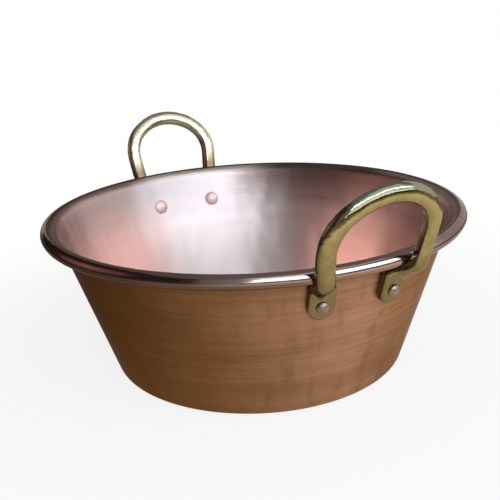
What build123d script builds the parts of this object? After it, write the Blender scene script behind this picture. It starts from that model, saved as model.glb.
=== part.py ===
from build123d import *
import math
import os

os.makedirs("parts", exist_ok=True)

# A round copper jam pan with a rolled rim and two cast brass handles.
# Millimetres, +Z up. The origin is on the table under the centre of the base.
# The handles stand at +X and -X, and each is riveted to the wall by two feet.

# Pan body, spun from one sheet
rim_diameter = 360.0
base_diameter = 252.0
pan_height = 134.0
sheet = 1.5
base_corner_radius = 9.0
wall_to_bead_gap = 1.8
flare_beyond_bead = 4.5
curl_end_angle = 120.0
curl_seam_gap = 0.2

# Steel wire that the rim is rolled around
wire_diameter = 7.4
wire_clearance = 0.3
wire_joint_gap = 1.0

# Handle bar, wider across the arch than through it
bar_width = 12.6
bar_depth = 10.4

# Radii of the bar's corners, as shares of its depth. It is rounded most at the
# front of the arch's outside, and least at the front of its opening.
bar_front_outer_share = 0.54
bar_front_inner_share = 0.24
bar_back_outer_share = 0.42
bar_back_inner_share = 0.34

# Handle shape, on the middle line of the bar
leg_spacing = 78.0
leg_lean = 15.2
knee_rise = 22.0
knee_radius = 25.0
knee_margin = 0.1
arch_width = 83.6
arch_height = 39.2
arch_lean = 23.4
crown_angle = 45.0
heel_drop = 5.0
heel_radius = 8.0

# Pads at the handle's feet, which lie on the wall
pad_width = 20.0
pad_thickness = 6.5
pad_above_rivet = 17.5
pad_below_rivet = 2.0
pad_corner_radius = 3.0
pad_edge_radius = 1.8
toe_above_rivet = 13.0
seat_gap = 0.15

# Rivets, square to the wall
rivet_below_rim = 31.0
rivet_spacing = 57.5
shank_diameter = 5.0
shank_clearance = 0.1
outer_head_diameter = 10.0
outer_head_height = 3.4
inner_head_diameter = 14.4
inner_head_height = 2.4

# Cutters run this far past what they cut
overrun = 5.0


def polar(angle, length=1.0):
    """A vector in the profile, with its angle in degrees from straight outward."""
    turn = math.radians(angle)
    return Vector(length * math.cos(turn), length * math.sin(turn))


# The profile has the distance from the axis as X and the height as Y.
base_radius = base_diameter / 2
rim_radius = rim_diameter / 2
bead_radius = wire_diameter / 2 + wire_clearance + sheet
bead = Vector(rim_radius - bead_radius, pan_height - bead_radius)
wall_foot = Vector(base_radius, 0)
wall_head = Vector(bead.X - bead_radius - wall_to_bead_gap, bead.Y)
wall_slope = (wall_head.X - wall_foot.X) / wall_head.Y
wall_angle = math.degrees(math.atan(wall_slope))
out_of_wall = polar(-wall_angle)
up_the_wall = polar(90 - wall_angle)

# The sheet's middle line turns up at the corner, flares out over the wire,
# curls round it and ends against the outside of the wall.
corner_turn = 90 - wall_angle
corner_run = base_corner_radius * math.tan(math.radians(corner_turn) / 2)
corner_mid_radius = base_corner_radius - sheet / 2
flare_mid_radius = bead_radius + flare_beyond_bead
curl_mid_radius = bead_radius - sheet / 2
wall_to_bead = (bead - wall_head).dot(out_of_wall)
flare_offset = flare_mid_radius - curl_mid_radius
flare_share = (flare_mid_radius - sheet / 2 - wall_to_bead) / flare_offset
flare_turn = math.degrees(math.acos(flare_share))
flare_drop = flare_offset * math.sin(math.radians(flare_turn))
wall_run = (bead - wall_foot).dot(up_the_wall) - flare_drop - corner_run
curl_turn = 180 - wall_angle - flare_turn + curl_end_angle
curl_end = polar(-curl_end_angle)
tail_heading = polar(-curl_end_angle - 90)
tail_reach = wall_to_bead - curl_seam_gap + bead_radius * curl_end.dot(out_of_wall)
tail_run = -tail_reach / tail_heading.dot(out_of_wall)


def sheet_side(shift):
    """One face of the sheet in profile, shifted from its middle line to the left."""
    start = Vector(0, sheet / 2 + shift)
    base = Line(start, start + Vector(base_radius - corner_run, 0))
    corner = JernArc(base @ 1, base % 1, corner_mid_radius - shift, corner_turn)
    wall = Line(corner @ 1, corner @ 1 + (corner % 1) * wall_run)
    flare = JernArc(wall @ 1, wall % 1, flare_mid_radius + shift, -flare_turn)
    curl = JernArc(flare @ 1, flare % 1, curl_mid_radius + shift, -curl_turn)
    tail = Line(curl @ 1, curl @ 1 + (curl % 1) * tail_run)
    return [base, corner, wall, flare, curl, tail]


def turned(profile, arc=360.0):
    """Solid made by turning a profile about the pan's axis."""
    return revolve(Plane.XZ * profile, Axis.Z, arc)


def make_pan_sheet():
    """Base, wall and rolled rim, without the rivet holes."""
    inside = sheet_side(sheet / 2)
    outside = sheet_side(-sheet / 2)
    axis_line = Line(outside[0] @ 0, inside[0] @ 0)
    end_line = Line(outside[-1] @ 1, inside[-1] @ 1)
    return turned(make_face(inside + outside + [axis_line, end_line]))


def make_rim_wire():
    """Round wire bent to a ring, with a small gap where its ends meet."""
    joint_angle = math.degrees(wire_joint_gap / bead.X)
    section = Pos(bead.X, bead.Y) * Circle(wire_diameter / 2)
    return turned(section, 360.0 - joint_angle)


def make_pan_envelope(gap):
    """All that lies inside the pan's outer face, grown by a gap."""
    across = Vector(gap * out_of_wall.X + gap * wall_slope * up_the_wall.X, 0)
    wall = Polygon(
        (0, 0), wall_foot + across, wall_head + across, (0, wall_head.Y), align=None
    )
    rim = Pos(bead.X, bead.Y) * Circle(bead_radius + gap)
    curl_foot = bead + curl_end * (bead_radius + gap)
    tail = Polygon(
        bead, wall_head, curl_foot + tail_heading * tail_run, curl_foot, align=None
    )
    return turned(wall + rim + tail)


# Place of a rivet: on the wall's outer face, Z square to it and Y up the wall
rivet_height = pan_height - rivet_below_rim
wall_radius_at_rivet = base_radius + wall_slope * rivet_height
rivet_angle = math.asin(rivet_spacing / 2 / wall_radius_at_rivet)


def rivet_plane(side):
    """Plane on the wall at the rivet on the +Y side (1) or the -Y side (-1)."""
    turn = side * rivet_angle
    away = Vector(math.cos(turn), math.sin(turn), 0)
    along = Vector(-math.sin(turn), math.cos(turn), 0)
    square = away * out_of_wall.X + Vector(0, 0, out_of_wall.Y)
    origin = away * wall_radius_at_rivet + Vector(0, 0, rivet_height)
    return Plane(origin=origin, x_dir=along, z_dir=square)


def make_pad(side):
    """Tongue-shaped pad round a rivet, which runs on into the wall's space."""
    tongue = Pos(0, (pad_above_rivet - pad_below_rivet) / 2) * Rectangle(
        pad_width, pad_above_rivet + pad_below_rivet
    )
    tongue += Pos(0, -pad_below_rivet) * Circle(pad_width / 2)
    pad = Pos(0, 0, -overrun) * extrude(tongue, pad_thickness + overrun)
    top_corners = pad.edges().filter_by(Axis.Z).group_by(Axis.Y)[-1]
    pad = fillet(top_corners, pad_corner_radius)
    front_edges = pad.faces().sort_by(Axis.Z)[-1].edges()
    return rivet_plane(side) * fillet(front_edges, pad_edge_radius)


def make_bar_section():
    """The bar's section, its front at +X and the arch's opening at +Y."""
    corners = [
        (1, -1, bar_front_outer_share),
        (1, 1, bar_front_inner_share),
        (-1, -1, bar_back_outer_share),
        (-1, 1, bar_back_inner_share),
    ]
    section = Rectangle(bar_depth, bar_width)
    for front, opening, share in corners:
        place = Vector(front * bar_depth / 2, opening * bar_width / 2)
        corner = section.vertices().sort_by_distance(place)[0]
        section = fillet(corner, bar_depth * share)
    return section


def make_bar_half():
    """The bar from the crown down the +Y leg, round the heel and into its pad."""
    lean = math.radians(arch_lean)
    up_the_arch = Vector(math.sin(lean), 0, math.cos(lean))
    out_of_arch = Vector(math.cos(lean), 0, -math.sin(lean))

    # At the bead's level the leg stands just clear of the bead.
    leg_y = leg_spacing / 2
    bead_x_at_leg = math.sqrt(rim_radius**2 - leg_y**2)
    beside_bead = Vector(bead_x_at_leg + seat_gap + bar_depth / 2, leg_y, bead.Y)
    knee_out = knee_rise * math.tan(math.radians(leg_lean))
    knee = Vector(beside_bead.X + knee_out, arch_width / 2, bead.Y + knee_rise)
    heel = beside_bead + (beside_bead - knee) * (heel_drop / knee_rise)
    foot = rivet_plane(1)
    toe = foot.origin + foot.y_dir * toe_above_rivet
    toe_end = toe + (toe - heel).normalized() * bar_depth
    crown = Vector(knee.X, 0, knee.Z) + up_the_arch * arch_height

    # The arch ends above the knee by the run that the knee's bend takes up.
    knee_turn = math.radians(up_the_arch.get_angle(knee - heel))
    knee_run = knee_radius * math.tan(knee_turn / 2) + knee_margin

    # The arch is two tangent arcs on each side, a wide one and a tighter one.
    half_width = arch_width / 2
    drop = arch_height - knee_run
    turn = math.radians(crown_angle)
    radius_step = (half_width - drop) / (math.sin(turn) + math.cos(turn) - 1)
    shoulder_radius = half_width - radius_step * math.sin(turn)
    crown_arc = JernArc((0, 0), (1, 0), shoulder_radius + radius_step, -crown_angle)
    shoulder_arc = JernArc(
        crown_arc @ 1, crown_arc % 1, shoulder_radius, crown_angle - 90
    )
    arch_plane = Plane(origin=crown, x_dir=(0, 1, 0), z_dir=out_of_arch)
    arch = [arch_plane * crown_arc, arch_plane * shoulder_arc]
    leg = FilletPolyline(
        arch[-1] @ 1, knee, heel, toe_end, radius=[knee_radius, heel_radius]
    )
    section_plane = Plane(origin=crown, x_dir=out_of_arch, z_dir=(0, 1, 0))
    return sweep(section_plane * make_bar_section(), Wire(arch + leg.edges()))


def make_handle():
    """The handle at +X, cast in one piece and fitted round the bead."""
    half = make_bar_half()
    handle = half + mirror(half, Plane.XZ)
    for side in (-1, 1):
        handle += make_pad(side)
    handle -= make_pan_envelope(seat_gap)
    for side in (-1, 1):
        handle -= rivet_plane(side) * make_rivet_hole()
    return handle


def make_rivet_hole():
    """Cutter for a rivet's hole, long enough for the wall and the pad."""
    depth = sheet + pad_thickness + 2 * overrun
    middle = (pad_thickness - sheet) / 2
    return Pos(0, 0, middle) * Cylinder(shank_diameter / 2 + shank_clearance, depth)


def make_rivet():
    """Rivet with a domed head on the pad and a wider, lower one in the pan."""
    shank = shank_diameter / 2
    outer = outer_head_diameter / 2
    inner = inner_head_diameter / 2

    # The inner head is flat below and spans the hollow side of the wall.
    hollow = inner**2 / (2 * wall_radius_at_rivet)
    inner_seat = -sheet - hollow - seat_gap
    outer_seat = pad_thickness + seat_gap
    tip = outer_seat + outer_head_height
    root = inner_seat - inner_head_height
    outline = [
        TangentArc((0, tip), (outer, outer_seat), tangent=(1, 0)),
        Line((outer, outer_seat), (shank, outer_seat)),
        Line((shank, outer_seat), (shank, inner_seat)),
        Line((shank, inner_seat), (inner, inner_seat)),
        TangentArc((0, root), (inner, inner_seat), tangent=(1, 0)),
        Line((0, root), (0, tip)),
    ]
    return turned(make_face(outline))


def make_pan_body():
    """The pan's sheet with a hole for each rivet."""
    body = make_pan_sheet()
    for side in (-1, 1):
        hole = rivet_plane(side) * make_rivet_hole()
        body -= hole
        body -= Rot(Z=180) * hole
    return body


# Nodes
nodes = {"pan_body": make_pan_body(), "rim_wire": make_rim_wire()}
handle = make_handle()
rivet = make_rivet()
for end_name, half_turn in (("right", 0), ("left", 180)):
    nodes[f"handle_{end_name}"] = Rot(Z=half_turn) * handle
    for row_name, side in (("front", -1), ("back", 1)):
        place = rivet_plane(side if half_turn == 0 else -side)
        nodes[f"rivet_{end_name}_{row_name}"] = Rot(Z=half_turn) * (place * rivet)

for name, node in nodes.items():
    export_step(node, f"parts/{name}.step")
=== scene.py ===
import math

import bpy
import numpy as np
from mathutils import Matrix, Vector, noise


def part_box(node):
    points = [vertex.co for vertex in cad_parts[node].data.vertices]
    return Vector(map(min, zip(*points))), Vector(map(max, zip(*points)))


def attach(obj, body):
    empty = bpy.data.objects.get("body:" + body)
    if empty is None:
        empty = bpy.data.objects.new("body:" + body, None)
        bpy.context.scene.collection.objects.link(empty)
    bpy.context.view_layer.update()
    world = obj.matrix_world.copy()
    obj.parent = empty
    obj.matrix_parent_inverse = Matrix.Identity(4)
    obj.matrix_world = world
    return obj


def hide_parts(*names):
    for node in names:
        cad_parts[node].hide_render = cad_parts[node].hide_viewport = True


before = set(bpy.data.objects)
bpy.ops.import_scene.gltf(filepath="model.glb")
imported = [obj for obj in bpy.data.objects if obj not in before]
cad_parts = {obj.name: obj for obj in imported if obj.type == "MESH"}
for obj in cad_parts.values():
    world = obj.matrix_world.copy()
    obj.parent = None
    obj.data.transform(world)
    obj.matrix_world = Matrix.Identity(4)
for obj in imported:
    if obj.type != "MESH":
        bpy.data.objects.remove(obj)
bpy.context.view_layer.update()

# Metres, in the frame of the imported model: +Z up, the handles at +X and -X.
MM = 0.001

# Camera, fitted to the photograph's outlines
camera_place = (0.59403, -0.29138, 0.31050)
camera_target = (-0.00175, -0.00362, 0.09333)
camera_roll = math.radians(-2.976)
camera_lens = 56.8
camera_clip_start = 0.01
camera_azimuth = math.atan2(camera_place[1], camera_place[0])

# Surroundings that look white, with a sky that is dimmer as a lamp
sky_level = 0.45
floor_size = 12.0
floor_colour = (0.98, 0.955, 0.925)

# How much of the floor is plain white: (near, far, share near, share far)
floor_white = (0.22, 0.52, 0.83, 1.0)

# What the metal sees of the floor: its level across the bright side, and its gain
# by distance: (low, high, level at low, level at high)
floor_card_size = 6.0
floor_card_height = 2 * MM
floor_bright_side = 60
floor_sides = (-0.3, 0.34, 0.22, 0.95)
floor_near = (0.26, 0.4, 1.0, 1.35)
floor_far = (0.45, 0.65, 1.0, 0.3)

# Lamps and cards stand round this point and face it.
look_at = Vector((0, 0, 0.07))

# Lamps: (name, azimuth right of the camera and elevation in degrees, distance,
# width, height, radiance, colour)
lamps = (
    ("window_left", 18, 33, 2.2, 1.9, 0.9, 0.5, (1.0, 0.97, 0.92)),
    ("window_right", 62, 33, 2.2, 1.9, 0.9, 0.45, (1.0, 0.97, 0.92)),
    ("window_low", 36, 15, 2.2, 3.8, 0.36, 2.0, (0.72, 0.97, 1.25)),
    ("window_core", 36, 36, 2.1, 3.3, 0.28, 7.8, (0.75, 0.97, 1.15)),
)

# Cards that only the metal sees: (name, azimuth, elevation, distance, width,
# height, shade), and where it fades to another shade at its edges, that shade
left_shade = (0.08, 0.054, 0.052)
cards = (
    ("card_sill", 40, 2, 1.2, 2.6, 0.3, (0.03, 0.03, 0.028)),
    ("card_edge", -17, 34, 2.3, 1.1, 4.2, (0.27, 0.26, 0.26)),
    ("card_left", -86, 34, 2.4, 8.6, 4.2, left_shade),
    ("card_glow", -92, 18, 2.0, 2.4, 2.4, (1.0, 0.55, 0.47), left_shade),
    ("card_back", 178, 35, 2.4, 2.0, 3.4, (0.33, 0.33, 0.33)),
    ("card_right", 130, 17, 2.3, 3.6, 1.9, (1.1, 1.06, 1.05)),
    ("card_upper", 150, 46, 2.5, 6.0, 3.2, (0.33, 0.34, 0.33)),
    ("card_top", 0, 90, 2.4, 5.0, 5.0, (0.33, 0.35, 0.34)),
    ("card_high", 48, 60, 2.1, 2.2, 0.9, (1.25, 1.25, 1.25)),
)

# The pan's sheet, as in the model
sheet = 1.5 * MM
base_radius = 126.0 * MM
corner_radius = 9.0 * MM
bead_radius = 5.5 * MM
wall_to_bead_gap = 1.8 * MM
flare_beyond_bead = 4.5 * MM
curl_end_angle = math.radians(120)
curl_seam_gap = 0.2 * MM
rim_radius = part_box("pan_body")[1][0]
pan_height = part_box("pan_body")[1][2]

# Fineness of the turned mesh
rounds_in_turn = 480
straight_step = 3.0 * MM
arc_step = math.radians(5)

# Headings along the profile where the flare's polish and the bead's underside
# start and are full
polish_start = math.radians(70)
polish_full = math.radians(12)
under_start = math.radians(-45)
under_full = math.radians(-105)

# The handles' castings: softened all over, with filled corners. Above a height
# their bar is made rounder, and swelled back to about its thickness.
handle_voxel = 0.45 * MM
handle_rounds = 24
handle_fillet = 4.0 * MM
fillet_rounds = 4
bar_start = 106 * MM
bar_fade = 14 * MM
bar_rounds = 450
bar_swell = 0.35 * MM

# Their flats lean out like the handles, and bulge. A flat's points are those that
# face this nearly its way, and this percentage of them is lowered, its edges most.
handle_lean = math.radians(20)
crown_depth = 1.0 * MM
crown_rounds = 160
flat_facing = 0.95
lowered_percentage = 90

# The castings' skin: (size, depth) of its hollows
cast_waves = ((14 * MM, 0.35 * MM), (6 * MM, 0.16 * MM), (2.6 * MM, 0.05 * MM))

# The rivets' worn edges
rivet_voxel = 0.25 * MM
rivet_rounds = 4

# Relief in the materials: turned brush lines and hammered waves in the sheet, the
# brass's grain and its dents on the (near, far) handle, and the rivets' dents
brush_depth = 0.012 * MM
sheet_wave_depth = 2.2 * MM
brass_grain_depth = 0.006 * MM
brass_dent_depths = (0.14 * MM, 0.04 * MM)
rivet_dent_depth = 0.12 * MM

# A thin gloss over the bead and the brass, and the metals' tints at their edges
gloss = {"Coat_IOR": 1.6, "Coat_Roughness": 0.08}
copper_edge_tint = (0.6, 0.52, 0.46, 1)
brass_edge_tint = (0.45, 0.5, 0.38, 1)

# Colours that go from (dark, light) by streaks or clouds
# The outside's painted shade colours, then its colours on the lit side
shaded_copper = ((0.18, 0.072, 0.016), (0.275, 0.112, 0.028))
lit_copper = ((0.35, 0.178, 0.098), (0.56, 0.292, 0.166))
satin_copper = ((0.63, 0.465, 0.43), (0.765, 0.575, 0.54))
flare_copper = ((0.36, 0.25, 0.225), (0.46, 0.325, 0.295))
bead_copper = ((0.39, 0.26, 0.23), (0.5, 0.335, 0.3))
# Painted shade on the bead's underside, lighter on the lit side
underside_shade_copper = ((0.12, 0.06, 0.03), (0.34, 0.19, 0.12))
hammered_copper = ((0.25, 0.155, 0.13), (0.37, 0.25, 0.215))
polished_brass = ((0.26, 0.186, 0.055), (0.36, 0.264, 0.085))
drawn_steel = ((0.35, 0.35, 0.36), (0.55, 0.55, 0.56))

# Colours of smudges, clouds and specks
smudged_copper = (0.17, 0.083, 0.04)
clouded_copper = (0.57, 0.395, 0.37)
speckled_copper = (0.20, 0.115, 0.09)
speckled_brass = (0.15, 0.105, 0.035)

# Sides of the object are given in degrees, by their azimuth from +X and their reach
# each way. Painted light and shade on a side is full within this share of its reach.
full_reach = 0.6

# The wall's outside has painted shade, least on the side the light comes from.
lit_side = 4
lit_reach = math.radians(130)

# Painted light and shade inside, in place of reflections: (azimuth, reach, height
# with none, height with all, strength, colour). The first is at every height.
inside_painted_light = (
    (170, 44, -1, 0, 0.8, (0.61, 0.515, 0.5)),
    (236, 52, 118 * MM, 75 * MM, 0.75, (0.98, 0.64, 0.59)),
    (215, 55, 88 * MM, 122 * MM, 0.6, (0.38, 0.31, 0.31)),
    (85, 50, 105 * MM, 60 * MM, 1.0, (1.0, 0.66, 0.54)),
    (125, 40, 88 * MM, 122 * MM, 0.85, (0.24, 0.15, 0.13)),
)

# The flare, with a painted highlight on one side and painted shade on another: (azimuth,
# reach, colour)
flare_painted_light = (
    (174, 28, (0.78, 0.64, 0.6)),
    (127, 27, (0.13, 0.085, 0.075)),
)

# The bead: painted shade away from the lit side and on one stretch, and on another
# a painted highlight on its outside, with painted shade on its top there
shaded_bead = (0.12, 0.08, 0.07)
bead_painted_shade = (48, 38, (0.17, 0.12, 0.12))
bead_painted_highlight = (-2, 40)
bead_painted_light_colours = ((0.29, 0.195, 0.175), (0.6, 0.46, 0.43))

# Brass by place, all painted light: a painted highlight that makes the far handle paler,
# painted shade low on the legs, a grey painted reflection on top, painted shade on one side,
# and a brown painted reflection at the far handle's feet. Places go from (none, full).
highlight_brass = (0.7, 0.66, 0.46)
low_shade_brass = (0.17, 0.105, 0.022)
top_reflection_brass = (0.23, 0.25, 0.175)
side_shade_brass = (0.07, 0.07, 0.05)
foot_reflection_brass = (0.2, 0.115, 0.06)
far_brass_x = (50 * MM, -50 * MM)
low_shade_brass_z = (148 * MM, 122 * MM)
foot_reflection_brass_z = (149 * MM, 137 * MM)
shaded_brass_side = (-0.44, -0.9, 0)

# The rivets' inner heads, told apart by their distance from the axis
inner_head_copper = (0.78, 0.60, 0.56)
inner_head_radii = (161 * MM, 159 * MM)


def clear_look(obj):
    """Takes an object's material slots away."""
    obj.data.materials.clear()


# Nodes of materials and of the world


class Nodes:
    """Short ways to add nodes to a tree."""

    def __init__(self, tree):
        self.tree = tree

    def node(self, kind, sockets=(), **settings):
        """Adds a node, with values or links for its sockets, and its settings."""
        made = self.tree.nodes.new("ShaderNode" + kind)
        for key, value in settings.items():
            setattr(made, key, value)
        for key, value in dict(sockets).items():
            self.put(made.inputs[key], value)
        return made

    def put(self, socket, value):
        """Links a socket to another one, or sets its value."""
        if isinstance(value, bpy.types.NodeSocket):
            self.tree.links.new(value, socket)
        else:
            socket.default_value = value

    def math(self, operation, a, b=0.0, clamp=False):
        made = self.node("Math", {0: a, 1: b}, operation=operation, use_clamp=clamp)
        return made.outputs[0]

    def times(self, a, b):
        return self.math("MULTIPLY", a, b)

    def dot(self, a, b):
        made = self.node("VectorMath", {0: a, 1: b}, operation="DOT_PRODUCT")
        return made.outputs["Value"]

    def length(self, a):
        return self.node("VectorMath", {0: a}, operation="LENGTH").outputs["Value"]

    def ramp(self, value, low, high, to_low=0.0, to_high=1.0, shape="LINEAR"):
        sockets = {"Value": value, "From Min": low, "From Max": high,
                   "To Min": to_low, "To Max": to_high}
        return self.node("MapRange", sockets, interpolation_type=shape).outputs["Result"]

    def step(self, value, low, high, to_low, to_high):
        """A ramp that starts and ends softly."""
        return self.ramp(value, low, high, to_low, to_high, "SMOOTHSTEP")

    def mix(self, share, a, b):
        made = self.node("Mix", data_type="RGBA")
        self.put(made.inputs[0], share)
        for socket, value in ((made.inputs[6], a), (made.inputs[7], b)):
            self.put(socket, (*value, 1) if isinstance(value, tuple) else value)
        return made.outputs[2]

    def place(self):
        """A point's place in its object."""
        return self.node("TexCoord").outputs["Object"]


class Look(Nodes):
    """A node material around one Principled shader."""

    def __init__(self, name):
        self.material = bpy.data.materials.new(name)
        self.material.use_nodes = True
        super().__init__(self.material.node_tree)
        self.surface = self.tree.nodes["Principled BSDF"]
        self.here = self.place()

    def set(self, **values):
        for key, value in values.items():
            self.put(self.surface.inputs[key.replace("_", " ")], value)

    def part(self, vector, axis):
        return self.node("SeparateXYZ", {0: vector}).outputs[axis]

    def stretch(self, scale):
        made = self.node("VectorMath", {0: self.here, 1: scale}, operation="MULTIPLY")
        return made.outputs[0]

    def noise(self, scale, detail, rough):
        """Noise with its own number of waves in a metre along each axis."""
        sockets = {"Vector": self.stretch(scale), "Scale": 1.0,
                   "Detail": detail, "Roughness": rough}
        return self.node("TexNoise", sockets).outputs["Fac"]

    def beside(self, outward, azimuth, reach):
        """1 on one side of the object, and 0 past a reach from its middle."""
        edge = math.cos(math.radians(reach))
        full = math.cos(math.radians(full_reach * reach))
        return self.ramp(self.dot(outward, direction(azimuth)), edge, full)

    def attribute(self, name):
        return self.node("Attribute", attribute_name=name).outputs["Fac"]

    def bump(self, height, depth, under=None):
        sockets = {"Height": height, "Distance": depth, "Strength": 1.0}
        if under is not None:
            sockets["Normal"] = under
        return self.node("Bump", sockets).outputs["Normal"]


def direction(azimuth):
    """A level direction, with its azimuth in degrees from +X."""
    turn = math.radians(azimuth)
    return (math.cos(turn), math.sin(turn), 0)


# Camera, floor and light


def make_camera():
    """The camera that took the photograph."""
    camera = bpy.data.objects.new("camera", bpy.data.cameras.new("camera"))
    bpy.context.collection.objects.link(camera)
    camera.data.lens = camera_lens
    camera.data.clip_start = camera_clip_start
    sight = Vector(camera_target) - Vector(camera_place)
    aim = sight.to_track_quat("-Z", "Y").to_matrix()
    turn = aim @ Matrix.Rotation(camera_roll, 3, "Z")
    camera.matrix_world = Matrix.Translation(camera_place) @ turn.to_4x4()
    bpy.context.scene.camera = camera


def around(azimuth, elevation, distance):
    """A point seen from the pan, with its azimuth in degrees right of the camera."""
    turn = camera_azimuth + math.radians(azimuth)
    rise = math.radians(elevation)
    flat = distance * math.cos(rise)
    return Vector((flat * math.cos(turn), flat * math.sin(turn), distance * math.sin(rise)))


def face_pan(thing, azimuth, elevation, distance, front):
    """Puts a lamp or a card round the pan, with its front axis towards it."""
    thing.location = look_at + around(azimuth, elevation, distance)
    thing.rotation_mode = "QUATERNION"
    thing.rotation_quaternion = (look_at - thing.location).to_track_quat(front, "Y")


def add_lamp(name, azimuth, elevation, distance, width, height, radiance, colour):
    """A soft rectangular lamp that faces the pan."""
    light = bpy.data.lights.new(name, "AREA")
    light.shape = "RECTANGLE"
    light.size = width
    light.size_y = height
    light.energy = radiance * math.pi * width * height
    light.color = colour
    lamp = bpy.data.objects.new(name, light)
    bpy.context.collection.objects.link(lamp)
    face_pan(lamp, azimuth, elevation, distance, "-Z")
    lamp.visible_camera = False


def add_plane(name, width, height):
    """A rectangle round its own middle, with a material of its own."""
    x, y = width / 2, height / 2
    mesh = bpy.data.meshes.new(name)
    mesh.from_pydata([(-x, -y, 0), (x, -y, 0), (x, y, 0), (-x, y, 0)], [], [(0, 1, 2, 3)])
    plane = bpy.data.objects.new(name, mesh)
    bpy.context.collection.objects.link(plane)
    paint = bpy.data.materials.new(name)
    paint.use_nodes = True
    mesh.materials.append(paint)
    return plane, Nodes(paint.node_tree)


def add_card(name, width, height):
    """A card that only the metal sees, as studios use to shape its reflections."""
    card, nodes = add_plane(name, width, height)
    nodes.tree.nodes.clear()
    glow = nodes.node("Emission")
    nodes.node("OutputMaterial", {"Surface": glow.outputs[0]})
    card.visible_camera = False
    card.visible_diffuse = False
    card.visible_shadow = False
    return card, nodes, glow


def add_shade(name, azimuth, elevation, distance, width, height, shade, edge_shade=None):
    """A card of one shade that faces the pan, or one that fades to its edges."""
    card, nodes, glow = add_card(name, width, height)
    face_pan(card, azimuth, elevation, distance, "Z")
    colour = (*shade, 1)
    if edge_shade:
        fade = nodes.step(nodes.length(nodes.place()), 0, width / 2, 0, 1)
        colour = nodes.mix(fade, shade, edge_shade)
    nodes.put(glow.inputs["Color"], colour)


def add_floor_card():
    """A card just over the floor, brightest at the front right and near the pan."""
    card, nodes, glow = add_card("card_floor", floor_card_size, floor_card_size)
    card.location = (0, 0, floor_card_height)
    place = nodes.place()
    distance = nodes.length(place)
    level = nodes.step(nodes.dot(place, around(floor_bright_side, 0, 1.0)), *floor_sides)
    level = nodes.times(level, nodes.step(distance, *floor_near))
    level = nodes.times(level, nodes.step(distance, *floor_far))
    nodes.put(glow.inputs["Strength"], level)


def background_share(nodes):
    """1 for what the camera, a reflection or a clear piece shows, else 0."""
    path = nodes.node("LightPath").outputs
    total = path["Is Camera Ray"]
    for ray in ("Is Glossy Ray", "Is Transmission Ray"):
        total = nodes.math("ADD", total, path[ray], clamp=True)
    return total


def make_world():
    """White to look at, and a dimmer sky as a lamp."""
    world = bpy.data.worlds.new("studio")
    bpy.context.scene.world = world
    world.use_nodes = True
    nodes = Nodes(world.node_tree)
    sky = world.node_tree.nodes["Background"]
    level = nodes.step(background_share(nodes), 0, 1, sky_level, 1.0)
    nodes.put(sky.inputs["Strength"], level)
    nodes.put(sky.inputs["Color"], (1, 1, 1, 1))


def make_floor():
    """A pale floor that turns into the white background away from the pan."""
    _, nodes = add_plane("floor", floor_size, floor_size)
    surface = nodes.tree.nodes["Principled BSDF"]
    nodes.put(surface.inputs["Base Color"], (*floor_colour, 1))
    nodes.put(surface.inputs["Roughness"], 1.0)
    nodes.put(surface.inputs["Specular IOR Level"], 0.0)
    fade = nodes.step(nodes.length(nodes.place()), *floor_white)
    share = nodes.times(fade, background_share(nodes))
    white = nodes.node("Emission")
    mix = nodes.node("MixShader", {0: share, 1: surface.outputs[0], 2: white.outputs[0]})
    nodes.put(nodes.tree.nodes["Material Output"].inputs["Surface"], mix.outputs[0])


def make_studio():
    """White surroundings, a window at the front right, and cards all round."""
    make_world()
    make_floor()
    for lamp in lamps:
        add_lamp(*lamp)
    add_floor_card()
    for card in cards:
        add_shade(*card)


# Meshes


def walk(start, moves):
    """Points and headings along straights (length, 0) and arcs (radius, turn)."""
    points, headings = [Vector(start)], [0.0]
    for size, turn in moves:
        steps = max(2, math.ceil(abs(turn) / arc_step if turn else size / straight_step))
        run = size if not turn else 2 * size * math.sin(abs(turn) / steps / 2)
        for _ in range(steps):
            lean = headings[-1] + turn / steps / 2
            length = run if turn else run / steps
            points.append(points[-1] + Vector((math.cos(lean), math.sin(lean))) * length)
            headings.append(headings[-1] + turn / steps)
    return points, headings


def sheet_profile():
    """The sheet's middle line from the centre of the base to the end of the curl."""
    bead = Vector((rim_radius - bead_radius, pan_height - bead_radius))
    wall_head_radius = bead.x - bead_radius - wall_to_bead_gap
    lean = math.atan((wall_head_radius - base_radius) / bead.y)
    square = Vector((math.cos(lean), -math.sin(lean)))
    along = Vector((math.sin(lean), math.cos(lean)))
    corner_turn = math.pi / 2 - lean
    corner_run = corner_radius * math.tan(corner_turn / 2)
    curl_mid = bead_radius - sheet / 2
    flare_mid = bead_radius + flare_beyond_bead
    wall_to_bead = (bead - Vector((wall_head_radius, bead.y))).dot(square)
    flare_turn = math.acos((flare_mid - sheet / 2 - wall_to_bead) / (flare_mid - curl_mid))
    flare_drop = (flare_mid - curl_mid) * math.sin(flare_turn)
    wall_run = (bead - Vector((base_radius, 0))).dot(along) - flare_drop - corner_run
    curl_turn = math.pi - lean - flare_turn + curl_end_angle
    curl_end = Vector((math.cos(curl_end_angle), -math.sin(curl_end_angle)))
    tail_heading = Vector((-math.sin(curl_end_angle), -math.cos(curl_end_angle)))
    tail_reach = wall_to_bead - curl_seam_gap + bead_radius * curl_end.dot(square)
    tail_run = -tail_reach / tail_heading.dot(square)
    moves = [
        (base_radius - corner_run, 0),
        (corner_radius - sheet / 2, corner_turn),
        (wall_run, 0),
        (flare_mid, -flare_turn),
        (curl_mid, -curl_turn),
        (tail_run, 0),
    ]
    return walk((0, sheet / 2), moves)


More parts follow.
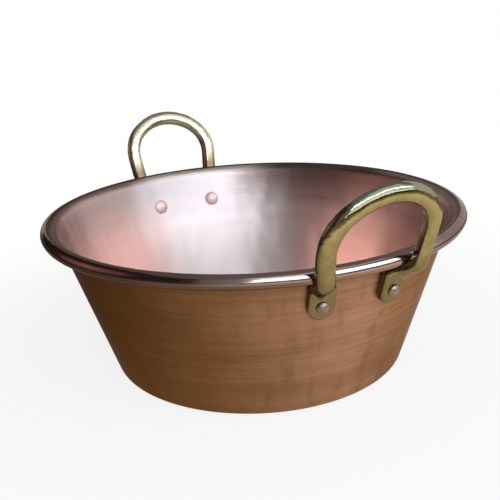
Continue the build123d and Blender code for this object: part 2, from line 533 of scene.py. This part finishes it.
def lathe(name, loop, values):
    """A solid turned from a closed profile that starts and ends on the axis."""
    turns = np.arange(rounds_in_turn) * (2 * math.pi / rounds_in_turn)
    inner = loop[1:-1]
    radius = np.array([p[0] for p in inner])
    height = np.array([p[1] for p in inner])
    x = np.outer(np.cos(turns), radius)
    y = np.outer(np.sin(turns), radius)
    z = np.broadcast_to(height, x.shape)
    vertices = np.stack([x, y, z], axis=2).reshape(-1, 3)
    poles = [(0, 0, loop[0][1]), (0, 0, loop[-1][1])]
    count = len(inner)
    low, high = len(vertices), len(vertices) + 1
    strips, caps = [], []
    for j in range(rounds_in_turn):
        here, there = j * count, (j + 1) % rounds_in_turn * count
        for i in range(count - 1):
            strips.append((here + i, there + i, there + i + 1, here + i + 1))
        caps.append((low, there, here))
        caps.append((high, here + count - 1, there + count - 1))
    mesh = bpy.data.meshes.new(name)
    mesh.from_pydata(np.vstack([vertices, poles]).tolist(), [], strips + caps)
    mesh.shade_smooth()
    for label, along in values.items():
        data = np.concatenate([np.tile(along[1:-1], rounds_in_turn), [along[0], along[-1]]])
        mesh.attributes.new(label, "FLOAT", "POINT").data.foreach_set("value", data)
    piece = bpy.data.objects.new(name, mesh)
    bpy.context.collection.objects.link(piece)
    return piece


def make_pan():
    """The pan's sheet, with its sides told apart for the material."""
    points, headings = sheet_profile()
    inside, outside = [], []
    for point, heading in zip(points, headings):
        normal = Vector((-math.sin(heading), math.cos(heading)))
        inside.append(point + normal * sheet / 2)
        outside.append(point - normal * sheet / 2)
    headings = np.array(headings)
    polish = np.clip((polish_start - headings) / (polish_start - polish_full), 0, 1)
    under = np.clip((under_start - headings) / (under_start - under_full), 0, 1)
    loop = outside + inside[::-1]
    values = {
        "inside": np.array([0.0] * len(outside) + [1.0] * len(inside)),
        "polish": np.concatenate([polish, polish[::-1]]),
        "under": np.concatenate([under, under[::-1]]),
    }
    return lathe("pan_skin", loop, values)


def apply_modifiers(piece):
    """Makes the shape that a piece's modifiers give its mesh."""
    evaluated = piece.evaluated_get(bpy.context.evaluated_depsgraph_get())
    mesh = bpy.data.meshes.new_from_object(evaluated)
    piece.modifiers.clear()
    piece.data = mesh
    mesh.shade_smooth()


def add_remesh(piece, voxel):
    remesh = piece.modifiers.new("remesh", "REMESH")
    remesh.mode = "VOXEL"
    remesh.voxel_size = voxel


def add_smooth(piece, rounds, group=""):
    smooth = piece.modifiers.new("smooth", "SMOOTH")
    smooth.factor = 0.5
    smooth.iterations = rounds
    smooth.vertex_group = group


def add_swell(piece, distance, group=""):
    swell = piece.modifiers.new("swell", "DISPLACE")
    swell.direction = "NORMAL"
    swell.mid_level = 0
    swell.strength = distance
    swell.vertex_group = group


def soft_copy(name, node, voxel, rounds, fillet=0.0):
    """A copy of a node's shape with softer edges, and filled corners if asked."""
    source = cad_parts[node]
    piece = bpy.data.objects.new(name, source.data.copy())
    bpy.context.collection.objects.link(piece)
    clear_look(piece)
    add_remesh(piece, voxel)
    if fillet:
        add_swell(piece, fillet)
        add_remesh(piece, voxel)
        add_smooth(piece, fillet_rounds)
        add_swell(piece, -fillet)
    add_smooth(piece, rounds)
    apply_modifiers(piece)
    return piece


def round_bar(piece):
    """Makes a handle's bar rounder, and about as thick as it was."""
    bar = piece.vertex_groups.new(name="bar")
    for vertex in piece.data.vertices:
        share = (vertex.co.z - bar_start) / bar_fade
        if share > 0:
            bar.add([vertex.index], min(share, 1), "REPLACE")
    add_smooth(piece, bar_rounds, bar.name)
    add_swell(piece, bar_swell, bar.name)
    apply_modifiers(piece)
    piece.vertex_groups.clear()


def crown(piece, toward, start):
    """Lowers the edges of a casting's flats that face a direction, above a height."""
    mesh = piece.data
    count = len(mesh.vertices)
    places, normals = np.empty(count * 3), np.empty(count * 3)
    mesh.vertices.foreach_get("co", places)
    mesh.vertices.foreach_get("normal", normals)
    facing = np.clip(normals.reshape(-1, 3) @ np.array(toward), 0, 1)
    ends = np.empty(len(mesh.edges) * 2, dtype=np.int64)
    mesh.edges.foreach_get("vertices", ends)
    ends = ends.reshape(-1, 2)
    links = np.bincount(ends.ravel(), minlength=count)

    # Spread along the edges, the facing stays high only far in on a flat.
    depth_in = facing ** 4
    for _ in range(crown_rounds):
        spread = np.bincount(ends[:, 0], depth_in[ends[:, 1]], count)
        spread += np.bincount(ends[:, 1], depth_in[ends[:, 0]], count)
        depth_in = (depth_in + spread / links) / 2
    full = np.percentile(depth_in[facing > flat_facing], lowered_percentage)
    places = places.reshape(-1, 3)
    above = np.clip((places[:, 2] - start) / bar_fade, 0, 1)
    drop = crown_depth * above * facing * np.clip(1 - depth_in / full, 0, 1)
    places = places - np.outer(drop, toward)
    mesh.vertices.foreach_set("co", places.ravel())
    mesh.update()


def roughen(piece, waves):
    """Moves a casting's skin in and out by layers of (size, depth) noise."""
    mesh = piece.data
    places = [vertex.co.copy() for vertex in mesh.vertices]
    normals = [vertex.normal.copy() for vertex in mesh.vertices]
    for index, vertex in enumerate(mesh.vertices):
        shift = sum(noise.noise(places[index] / size) * depth for size, depth in waves)
        vertex.co = places[index] + normals[index] * shift


# Materials


def sheet_copper():
    """Copper sheet: brown and brushed outside, satin pink inside, polished bead."""
    look = Look("sheet_copper")
    inside = look.attribute("inside")
    polish = look.attribute("polish")
    under = look.attribute("under")
    height = look.part(look.here, "Z")
    level = look.stretch((1, 1, 0))
    outward = look.node("VectorMath", {0: level}, operation="NORMALIZE").outputs[0]

    # Turned brush lines of three sizes, and hand-wide clouds and smudges
    fine = look.noise((40, 40, 4200), 3.0, 0.65)
    lines = look.noise((9, 9, 1100), 3.0, 0.6)
    bands = look.noise((3, 3, 240), 3.0, 0.6)
    clouds = look.noise((16, 16, 26), 4.0, 0.6)
    smudges = look.noise((70, 70, 9), 4.0, 0.6)
    streaks = look.math("ADD", look.math("ADD", fine, lines), bands)
    streaks = look.ramp(streaks, 1.15, 1.85)
    patches = look.ramp(clouds, 0.3, 0.7)

    # The outside, with painted shade by the angle from its lit side
    away = look.math("ARCCOSINE", look.dot(outward, direction(lit_side)))
    away = look.math("ADD", away, look.ramp(clouds, 0.3, 0.7, -0.2, 0.2))
    lit_share = look.math("POWER", look.ramp(away, lit_reach, 0), 3.0)
    behind = look.ramp(away, lit_reach, math.pi, 0, 0.3)
    lit_share = look.math("ADD", lit_share, behind, clamp=True)
    # Painted shade away from the lit side, lighter towards it
    shaded_brown = look.mix(streaks, *shaded_copper)
    brown = look.mix(lit_share, shaded_brown, look.mix(streaks, *lit_copper))
    brown = look.mix(look.ramp(smudges, 0.5, 0.75, 0, 0.45), brown, smudged_copper)

    # The inside, with painted light and shade by place
    pink = look.mix(streaks, *satin_copper)
    pink = look.mix(look.ramp(clouds, 0.42, 0.72, 0, 0.5), pink, clouded_copper)
    # Pale, bright salmon and dark patches, painted in place of reflections
    for azimuth, reach, none, full, strength, tone in inside_painted_light:
        share = look.times(look.beside(outward, azimuth, reach), look.ramp(height, none, full))
        pink = look.mix(look.times(share, strength), pink, tone)

    # The flare, and the bead from its top over its outside to its underside, with painted
    # highlights and painted shade
    flare = look.mix(patches, *flare_copper)
    # A painted highlight on one side of the flare, and painted shade on another
    for azimuth, reach, tone in flare_painted_light:
        flare = look.mix(look.beside(outward, azimuth, reach), flare, tone)
    # Painted shade on the bead away from the lit side
    bead = look.mix(lit_share, shaded_bead, look.mix(patches, *bead_copper))
    # A painted highlight on the bead's outside on one stretch, and painted shade on its top
    # there
    painted_bright = look.mix(look.ramp(under, 0.0, 0.12), *bead_painted_light_colours)
    bead = look.mix(look.beside(outward, *bead_painted_highlight), bead, painted_bright)
    # Painted shade on one stretch of the bead
    azimuth, reach, tone = bead_painted_shade
    bead = look.mix(look.beside(outward, azimuth, reach), bead, tone)
    # The bead's underside gets painted shade, less of it on the lit side
    bead = look.mix(look.ramp(under, 0.62, 0.85), bead, look.mix(lit_share, *underside_shade_copper))

    colour = look.mix(inside, brown, pink)
    colour = look.mix(look.times(inside, look.ramp(polish, 0.15, 0.45)), colour, flare)
    colour = look.mix(look.ramp(polish, 0.7, 0.95), colour, bead)
    gleam = look.times(look.ramp(polish, 0.6, 0.9, 0, 0.25), look.ramp(away, 2.0, 1.5))
    satin = look.ramp(streaks, 0, 1, 0.44, 0.56)
    satin = look.math("ADD", satin, look.times(inside, -0.04))
    rough = look.times(satin, look.ramp(polish, 0.25, 0.8, 0.9, 0.26))
    tangent = look.node("Tangent", direction_type="RADIAL", axis="Z").outputs["Tangent"]
    waves = look.bump(look.noise((22, 22, 9), 2.0, 0.5), sheet_wave_depth)
    look.set(Base_Color=colour, Metallic=1.0, Roughness=rough, Anisotropic=0.5,
             Anisotropic_Rotation=0.25, Tangent=tangent,
             Specular_Tint=copper_edge_tint, Coat_Weight=gleam, **gloss,
             Normal=look.bump(streaks, brush_depth, waves))
    return look.material


def cast_brass():
    """Cast brass, polished by hand over an uneven skin."""
    look = Look("cast_brass")
    dents = look.noise((260, 260, 260), 3.0, 0.55)
    grain = look.noise((1100, 1100, 1100), 3.0, 0.6)
    mottle = look.noise((90, 90, 90), 4.0, 0.6)
    height = look.part(look.here, "Z")
    far = look.ramp(look.part(look.here, "X"), *far_brass_x)
    normal = look.node("TexCoord").outputs["Normal"]

    tone = look.mix(look.ramp(mottle, 0.3, 0.7), *polished_brass)
    # A painted highlight: the far handle paler
    tone = look.mix(look.times(far, 0.66), tone, highlight_brass)
    tone = look.mix(look.ramp(grain, 0.62, 0.8, 0, 0.4), tone, speckled_brass)
    # Painted shade, low on the legs
    tone = look.mix(look.ramp(height, *low_shade_brass_z, 0, 0.6), tone, low_shade_brass)
    # A grey painted reflection on the upward faces, less on the far handle
    upward = look.ramp(look.part(normal, "Z"), 0.02, 0.55)
    tone = look.mix(look.times(upward, look.ramp(far, 0, 1, 1, 0.25)), tone, top_reflection_brass)
    # Painted shade on the faces turned to one side
    sideways = look.dot(normal, shaded_brass_side)
    tone = look.mix(look.ramp(sideways, 0.4, 0.85, 0, 0.7), tone, side_shade_brass)
    # A brown painted reflection of the copper at the far handle's feet
    foot = look.ramp(height, *foot_reflection_brass_z, 0, 0.9)
    tone = look.mix(look.times(foot, far), tone, foot_reflection_brass)

    rough = look.ramp(mottle, 0.3, 0.7, 0.10, 0.19)
    rough = look.math("ADD", rough, look.times(far, 0.1))
    uneven = look.bump(dents, look.ramp(far, 0, 1, *brass_dent_depths))
    look.set(Base_Color=tone, Metallic=1.0, Roughness=rough,
             Specular_Tint=brass_edge_tint, Coat_Weight=0.4, **gloss,
             Normal=look.bump(grain, brass_grain_depth, uneven), Coat_Normal=uneven)
    return look.material


def rivet_copper():
    """Dull copper of hammered rivets, paler on their inner heads."""
    look = Look("rivet_copper")
    dents = look.noise((420, 420, 420), 2.0, 0.5)
    specks = look.noise((1500, 1500, 1500), 3.0, 0.6)
    inside = look.ramp(look.length(look.stretch((1, 1, 0))), *inner_head_radii)
    tone = look.mix(look.ramp(dents, 0.35, 0.65), *hammered_copper)
    tone = look.mix(look.ramp(specks, 0.6, 0.75, 0, 0.5), tone, speckled_copper)
    tone = look.mix(inside, tone, inner_head_copper)
    rough = look.ramp(inside, 0, 1, 0.4, 0.62)
    look.set(Base_Color=tone, Metallic=1.0, Roughness=rough,
             Normal=look.bump(dents, rivet_dent_depth))
    return look.material


def rim_steel():
    """Drawn steel wire, hidden in the rim."""
    look = Look("rim_steel")
    scale = look.noise((400, 400, 400), 3.0, 0.6)
    look.set(Base_Color=look.mix(scale, *drawn_steel), Metallic=1.0, Roughness=0.4)
    return look.material


# The object


def make_handle(name, node, out):
    """A handle's casting, where out is 1 for the one at +X and -1 for the other."""
    handle = soft_copy(name, node, handle_voxel, handle_rounds, handle_fillet)
    front = Vector((out * math.cos(handle_lean), 0, -math.sin(handle_lean)))
    round_bar(handle)
    crown(handle, front, 0)
    crown(handle, -front, bar_start)
    roughen(handle, cast_waves)
    return handle


def dress(piece, node, material):
    """Puts a piece in a node's place with its finish."""
    clear_look(piece)
    piece.data.materials.append(material)
    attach(piece, "root")
    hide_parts(node)


make_camera()
make_studio()

dress(make_pan(), "pan_body", sheet_copper())

brass = cast_brass()
for end, out in (("right", 1), ("left", -1)):
    node = "handle_" + end
    dress(make_handle("cast_" + node, node, out), node, brass)

copper = rivet_copper()
for node in ("rivet_right_front", "rivet_right_back", "rivet_left_front", "rivet_left_back"):
    rivet = soft_copy("hammered_" + node, node, rivet_voxel, rivet_rounds)
    dress(rivet, node, copper)

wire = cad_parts["rim_wire"]
clear_look(wire)
wire.data.materials.append(rim_steel())

bpy.context.scene.view_settings.view_transform = "Standard"
